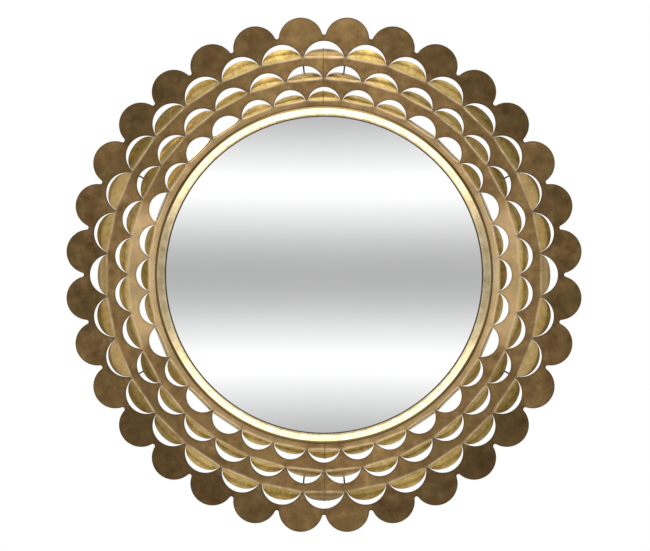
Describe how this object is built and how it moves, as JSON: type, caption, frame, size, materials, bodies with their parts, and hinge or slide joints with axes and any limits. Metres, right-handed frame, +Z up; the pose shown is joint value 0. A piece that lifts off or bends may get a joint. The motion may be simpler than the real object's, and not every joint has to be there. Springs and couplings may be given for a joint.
{
  "type": "convex wall mirror",
  "caption": "Round convex wall mirror in a brass bezel, set in a pierced and scalloped sheet-metal frame whose window flaps are bent back toward the wall.",
  "frame": {"origin": "centre of the wall plane behind the mirror, level with the back faces of the wall bumpers", "axes": "+Z up, +X to the right as seen from the front, +Y into the wall, the face looks toward -Y"},
  "size_m": [0.91, 0.0715, 0.91],
  "materials": {
    "antique_brass": "aged antique brass sheet with a brown patina, brighter on the bent flaps and folds",
    "polished_brass": "polished, lightly mottled pale brass",
    "mirror_glass": "convex silvered glass",
    "dark_steel": "dark bronze lacquer over steel",
    "zinc_steel": "zinc plated steel",
    "hardboard": "pressed hardboard",
    "felt": "dense pressed felt",
    "rubber": "matt moulded rubber"
  },
  "bodies": {
    "mirror": {"frame_half_right": "antique_brass", "frame_half_left": "antique_brass", "mirror_glass": "mirror_glass", "bezel_ring": "polished_brass", "rim_pan": "dark_steel", "support_ring": "dark_steel", "spacer_ring": "felt", "backing_board": "hardboard", "support_rod_1": "dark_steel", "support_rod_2": "dark_steel", "support_rod_3": "dark_steel", "support_rod_4": "dark_steel", "support_rod_5": "dark_steel", "support_rod_6": "dark_steel", "support_rod_7": "dark_steel", "support_rod_8": "dark_steel", "rear_hoop_right": "dark_steel", "rear_hoop_left": "dark_steel", "seam_strap_top_outer": "antique_brass", "seam_strap_top_middle": "antique_brass", "seam_strap_bottom_outer": "antique_brass", "seam_strap_bottom_middle": "antique_brass", "button_screw_1": "zinc_steel", "button_screw_2": "zinc_steel", "button_screw_3": "zinc_steel", "button_screw_4": "zinc_steel", "hanger_strap_left": "zinc_steel", "hanger_strap_right": "zinc_steel", "hanger_screw_left_1": "zinc_steel", "hanger_screw_left_2": "zinc_steel", "hanger_screw_right_1": "zinc_steel", "hanger_screw_right_2": "zinc_steel", "wall_bumper_1": "rubber", "wall_bumper_2": "rubber", "wall_bumper_3": "rubber", "wall_bumper_4": "rubber"},
    "button_1": {"turn_button_1": "zinc_steel"},
    "button_2": {"turn_button_2": "zinc_steel"},
    "button_3": {"turn_button_3": "zinc_steel"},
    "button_4": {"turn_button_4": "zinc_steel"},
    "ring_left": {"d_ring_left": "zinc_steel"},
    "ring_right": {"d_ring_right": "zinc_steel"}
  },
  "joints": [
    {"name": "button_1_turn", "type": "hinge", "parent": "mirror", "child": "button_1", "pos_m": [0.2093, -0.0129, 0.2093], "axis": [0, 1, 0], "continuous": true},
    {"name": "button_2_turn", "type": "hinge", "parent": "mirror", "child": "button_2", "pos_m": [0.2093, -0.0129, -0.2093], "axis": [0, 1, 0], "continuous": true},
    {"name": "button_3_turn", "type": "hinge", "parent": "mirror", "child": "button_3", "pos_m": [-0.2093, -0.0129, -0.2093], "axis": [0, 1, 0], "continuous": true},
    {"name": "button_4_turn", "type": "hinge", "parent": "mirror", "child": "button_4", "pos_m": [-0.2093, -0.0129, 0.2093], "axis": [0, 1, 0], "continuous": true},
    {"name": "ring_left_swing", "type": "hinge", "parent": "mirror", "child": "ring_left", "pos_m": [-0.19, -0.0107, 0.11], "axis": [1, 0, 0], "range_deg": [0, 180]},
    {"name": "ring_right_swing", "type": "hinge", "parent": "mirror", "child": "ring_right", "pos_m": [0.19, -0.0107, 0.11], "axis": [1, 0, 0], "range_deg": [0, 180]}
  ]
}
